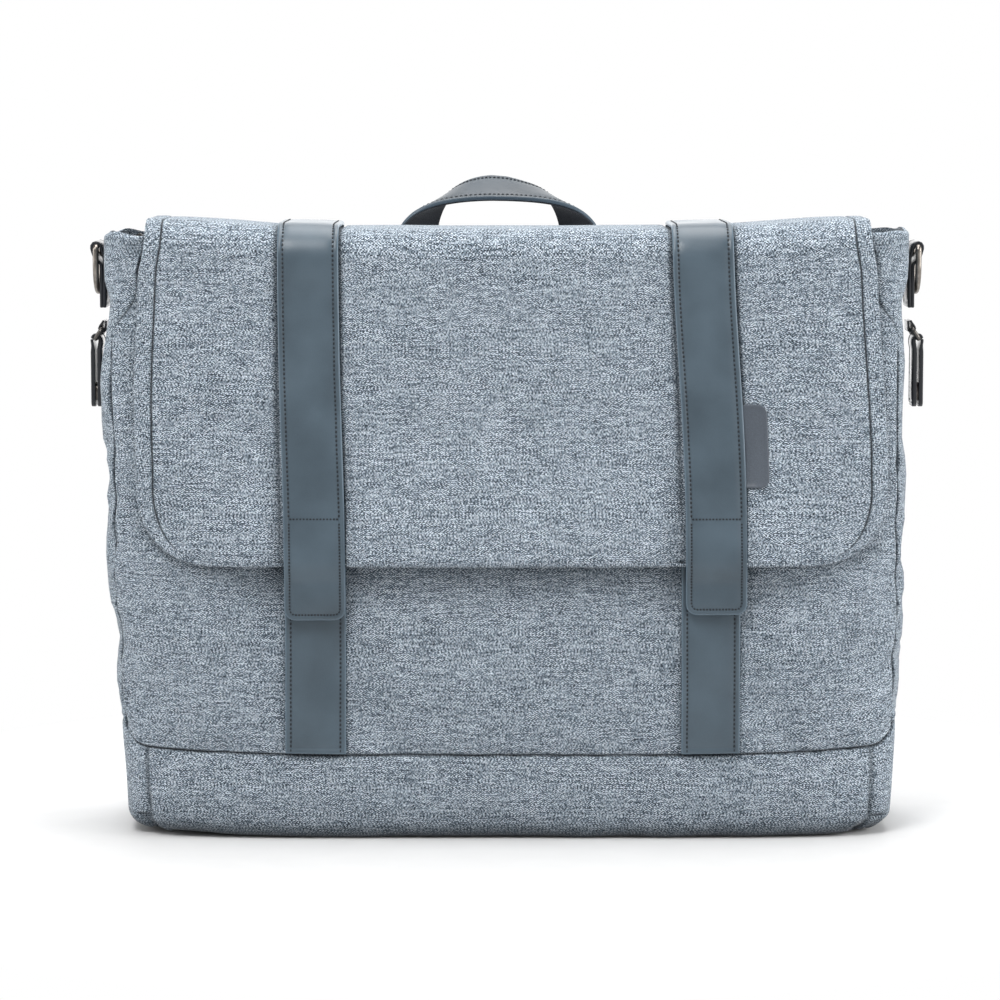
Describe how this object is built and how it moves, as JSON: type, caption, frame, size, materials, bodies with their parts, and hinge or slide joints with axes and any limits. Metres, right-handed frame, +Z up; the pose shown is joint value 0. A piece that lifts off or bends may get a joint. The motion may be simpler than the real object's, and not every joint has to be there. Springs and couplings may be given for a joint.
{
  "type": "diaper bag",
  "caption": "Messenger-style diaper bag with a stiffened base, zipped top, snap-down flap, carry handle, shoulder-strap rings and stroller hangers.",
  "frame": {"origin": "centre of the underside of the base", "axes": "+Z up, the flap hangs on the -Y side, +X to the right of someone facing the flap"},
  "size_m": [0.4462, 0.1413, 0.3503],
  "materials": {
    "twill": "melange twill, slate blue and grey yarns, matt",
    "twill_binding": "the same twill cut on the bias, folded and topstitched",
    "lining_cloth": "plain woven polyester",
    "leatherette": "slate blue-grey coated leather, fine grain, satin",
    "handle_lining": "dark woven tape",
    "elastic": "ribbed elastic",
    "zip_tape": "dark zip tape and nylon coil",
    "board": "plain",
    "label": "soft moulded, satin",
    "gunmetal": "antique nickel, satin"
  },
  "bodies": {
    "bag": {"front_panel": "twill", "back_panel": "twill", "gusset_left": "twill", "gusset_right": "twill", "base_band": "twill", "base_panel": "twill", "base_board": "board", "lining": "lining_cloth", "pocket_front": "lining_cloth", "pocket_back": "lining_cloth", "pocket_elastic": "elastic", "lower_strap_left": "leatherette", "lower_strap_right": "leatherette", "snap_socket_left": "gunmetal", "snap_socket_right": "gunmetal", "flap_anchor": "twill", "strap_anchor_left": "leatherette", "strap_anchor_right": "leatherette", "handle_ends": "leatherette", "ring_tab_left": "leatherette", "ring_tab_right": "leatherette", "hanger_keeper_left": "leatherette", "hanger_keeper_right": "leatherette", "zip_end_left": "zip_tape", "zip_end_right": "zip_tape"},
    "handle": {"handle_strap": "leatherette", "handle_backing": "handle_lining"},
    "flap_top": {"flap_top": "twill", "flap_top_lining": "lining_cloth", "flap_top_binding": "twill_binding", "strap_top_left": "leatherette", "strap_top_right": "leatherette"},
    "flap_front": {"flap_front": "twill", "flap_front_lining": "lining_cloth", "flap_front_binding": "twill_binding", "strap_front_left": "leatherette", "strap_front_right": "leatherette", "side_label": "label"},
    "strap_tip_left": {"strap_tip_left": "leatherette", "snap_stud_left": "gunmetal"},
    "strap_tip_right": {"strap_tip_right": "leatherette", "snap_stud_right": "gunmetal"},
    "ring_left": {"d_ring_left": "gunmetal"},
    "ring_right": {"d_ring_right": "gunmetal"},
    "hanger_ring_left": {"hanger_ring_left": "gunmetal"},
    "hanger_ring_right": {"hanger_ring_right": "gunmetal"},
    "hanger_left": {"hanger_strap_left": "leatherette"},
    "hanger_right": {"hanger_strap_right": "leatherette"},
    "hanger_leaf_left": {"hanger_leaf_left": "leatherette", "hanger_snap_left": "gunmetal"},
    "hanger_leaf_right": {"hanger_leaf_right": "leatherette", "hanger_snap_right": "gunmetal"},
    "zip_front": {"zip_strip_front": "twill", "zip_chain_front": "zip_tape"},
    "zip_back": {"zip_strip_back": "twill", "zip_chain_back": "zip_tape"},
    "zip_slider": {"zip_slider": "gunmetal"},
    "zip_pull": {"zip_pull": "gunmetal"}
  },
  "joints": [
    {"name": "flap_lift", "type": "hinge", "parent": "bag", "child": "flap_top", "pos_m": [0, 0.03, 0.325], "axis": [-1, 0, 0], "range_deg": [0, 140]},
    {"name": "flap_fold", "type": "hinge", "parent": "flap_top", "child": "flap_front", "pos_m": [0, -0.04214, 0.31914], "axis": [-1, 0, 0], "range_deg": [0, 90]},
    {"name": "strap_peel_left", "type": "hinge", "parent": "flap_front", "child": "strap_tip_left", "pos_m": [-0.104, -0.06515, 0.1707], "axis": [-1, 0, 0], "range_deg": [0, 120]},
    {"name": "strap_peel_right", "type": "hinge", "parent": "flap_front", "child": "strap_tip_right", "pos_m": [0.104, -0.06515, 0.1707], "axis": [-1, 0, 0], "range_deg": [0, 120]},
    {"name": "handle_fold", "type": "hinge", "parent": "bag", "child": "handle", "pos_m": [-0.0045, 0.0474, 0.2952], "axis": [-1, 0, 0], "range_deg": [0, 100]},
    {"name": "ring_swing_left", "type": "hinge", "parent": "bag", "child": "ring_left", "pos_m": [-0.2193, 0, 0.311], "axis": [0, 1, 0], "range_deg": [0, 120]},
    {"name": "hanger_ring_swing_left", "type": "hinge", "parent": "bag", "child": "hanger_ring_left", "pos_m": [-0.21685, 0, 0.267], "axis": [0, 1, 0], "range_deg": [0, 30]},
    {"name": "hanger_swing_left", "type": "hinge", "parent": "hanger_ring_left", "child": "hanger_left", "pos_m": [-0.22021, 0, 0.26203], "axis": [0, 1, 0], "range_deg": [0, 60]},
    {"name": "hanger_open_left", "type": "hinge", "parent": "hanger_left", "child": "hanger_leaf_left", "pos_m": [-0.2231, 0, 0.25588], "axis": [0, 1, 0], "range_deg": [0, 90]},
    {"name": "ring_swing_right", "type": "hinge", "parent": "bag", "child": "ring_right", "pos_m": [0.2193, 0, 0.311], "axis": [0, -1, 0], "range_deg": [0, 120]},
    {"name": "hanger_ring_swing_right", "type": "hinge", "parent": "bag", "child": "hanger_ring_right", "pos_m": [0.21685, 0, 0.267], "axis": [0, -1, 0], "range_deg": [0, 30]},
    {"name": "hanger_swing_right", "type": "hinge", "parent": "hanger_ring_right", "child": "hanger_right", "pos_m": [0.22021, 0, 0.26203], "axis": [0, -1, 0], "range_deg": [0, 60]},
    {"name": "hanger_open_right", "type": "hinge", "parent": "hanger_right", "child": "hanger_leaf_right", "pos_m": [0.2231, 0, 0.25588], "axis": [0, -1, 0], "range_deg": [0, 90]},
    {"name": "zip_open_front", "type": "hinge", "parent": "bag", "child": "zip_front", "pos_m": [0, -0.033, 0.311], "axis": [-1, 0, 0], "range_deg": [0, 85]},
    {"name": "zip_open_back", "type": "hinge", "parent": "bag", "child": "zip_back", "pos_m": [0, 0.033, 0.311], "axis": [1, 0, 0], "range_deg": [0, 85]},
    {"name": "zip_slide", "type": "slide", "parent": "bag", "child": "zip_slider", "axis": [1, 0, 0], "range_m": [0, 0.369]},
    {"name": "zip_pull_flip", "type": "hinge", "parent": "zip_slider", "child": "zip_pull", "pos_m": [-0.197, 0, 0.3162], "axis": [0, 1, 0], "range_deg": [0, 95]}
  ]
}
